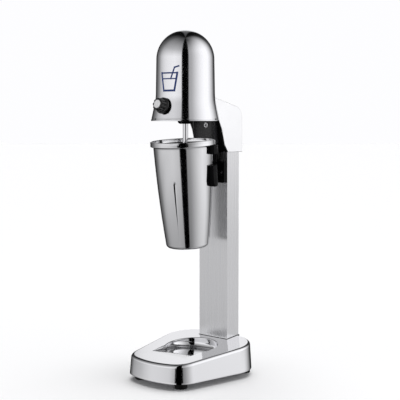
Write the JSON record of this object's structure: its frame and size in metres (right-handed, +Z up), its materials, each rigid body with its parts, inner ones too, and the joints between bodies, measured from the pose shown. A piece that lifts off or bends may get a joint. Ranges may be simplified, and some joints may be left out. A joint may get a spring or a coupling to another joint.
{
  "type": "milkshake mixer",
  "caption": "Upright milkshake mixer: polished footed base, brushed column, domed motor head with a speed knob, a spindle with a frothing disc and a tapered cup on a yoke.",
  "frame": {"origin": "middle of the footprint, on the table the feet stand on", "axes": "+Z up, front towards -Y, +X to the right of a person facing the back"},
  "size_m": [0.1598, 0.185, 0.53],
  "materials": {
    "polished_base": "mirror polished",
    "polished_head": "mirror polished",
    "polished_cup": "mirror polished stainless steel",
    "brushed_column": "vertical brushed grain",
    "satin_cover": "fine satin, near white",
    "black_moulding": "semi-gloss moulded",
    "charcoal_guard": "semi-gloss moulded",
    "black_casting": "satin black paint",
    "foot_rubber": "matt moulded rubber",
    "knob_plastic": "semi-gloss moulded",
    "bright_trim": "turned",
    "plain_steel": "zinc plated",
    "rod_steel": "ground and polished",
    "motor_iron": "laminated sheet",
    "copper": "enamelled wire",
    "brass_parts": "plain",
    "carbon": "carbon block",
    "cast_alloy": "as cast",
    "insulation": "moulded",
    "lead_sheath": "flexible sheath",
    "board_green": "lacquered board"
  },
  "bodies": {
    "frame": {"base_shell": "polished_base", "base_plate": "plain_steel", "base_plate_screws": "plain_steel", "foot_front_left": "foot_rubber", "foot_front_right": "foot_rubber", "foot_rear_left": "foot_rubber", "foot_rear_right": "foot_rubber", "foot_screws": "plain_steel", "column": "brushed_column", "column_foot": "plain_steel", "column_bolts": "plain_steel", "cord_gland": "black_moulding", "gland_nut": "black_moulding", "supply_lead": "lead_sheath", "head_arm": "black_casting", "arm_screws": "plain_steel", "rear_cover": "satin_cover", "cover_spacers": "plain_steel", "rear_cover_screws": "plain_steel", "neck_guard": "charcoal_guard", "neck_screw": "bright_trim", "cup_holder": "black_moulding", "holder_screws": "plain_steel", "holder_nut_plate": "plain_steel", "head_shell": "polished_head", "head_plate": "black_casting", "head_plate_screws": "plain_steel", "shell_screws": "black_casting", "bushing_cap": "black_moulding", "spindle_bushing": "brass_parts", "rubber_mounts": "foot_rubber", "lower_motor_bracket": "cast_alloy", "upper_motor_bracket": "cast_alloy", "motor_bolts": "plain_steel", "lower_bearing": "plain_steel", "upper_bearing": "plain_steel", "stator_core": "motor_iron", "stator_coils": "copper", "brush_holders": "brass_parts", "brushes": "carbon", "brush_springs": "plain_steel", "speed_pot": "plain_steel", "pot_nut": "plain_steel", "control_board": "board_green", "terminal_block": "insulation", "capacitor": "insulation"},
    "spindle_assembly": {"rotor_core": "motor_iron", "rotor_windings": "copper", "commutator": "copper", "cooling_fan": "carbon", "motor_shaft": "rod_steel", "shaft_coupling": "plain_steel", "spindle": "rod_steel", "agitator": "rod_steel"},
    "knob": {"speed_knob": "knob_plastic", "knob_cap": "bright_trim", "pot_shaft": "bright_trim"},
    "cup": {"cup": "polished_cup"}
  },
  "joints": [
    {"name": "spindle_spin", "type": "hinge", "parent": "frame", "child": "spindle_assembly", "pos_m": [0, -0.008, 0.4], "axis": [0, 0, 1], "continuous": true},
    {"name": "knob_turn", "type": "hinge", "parent": "frame", "child": "knob", "pos_m": [0, -0.05562, 0.415], "axis": [0, -0.9781, 0.2079], "range_deg": [0, 270]},
    {"name": "cup_lift", "type": "slide", "parent": "frame", "child": "cup", "axis": [0, -0.0698, 0.9976], "range_m": [0, 0.016]}
  ]
}
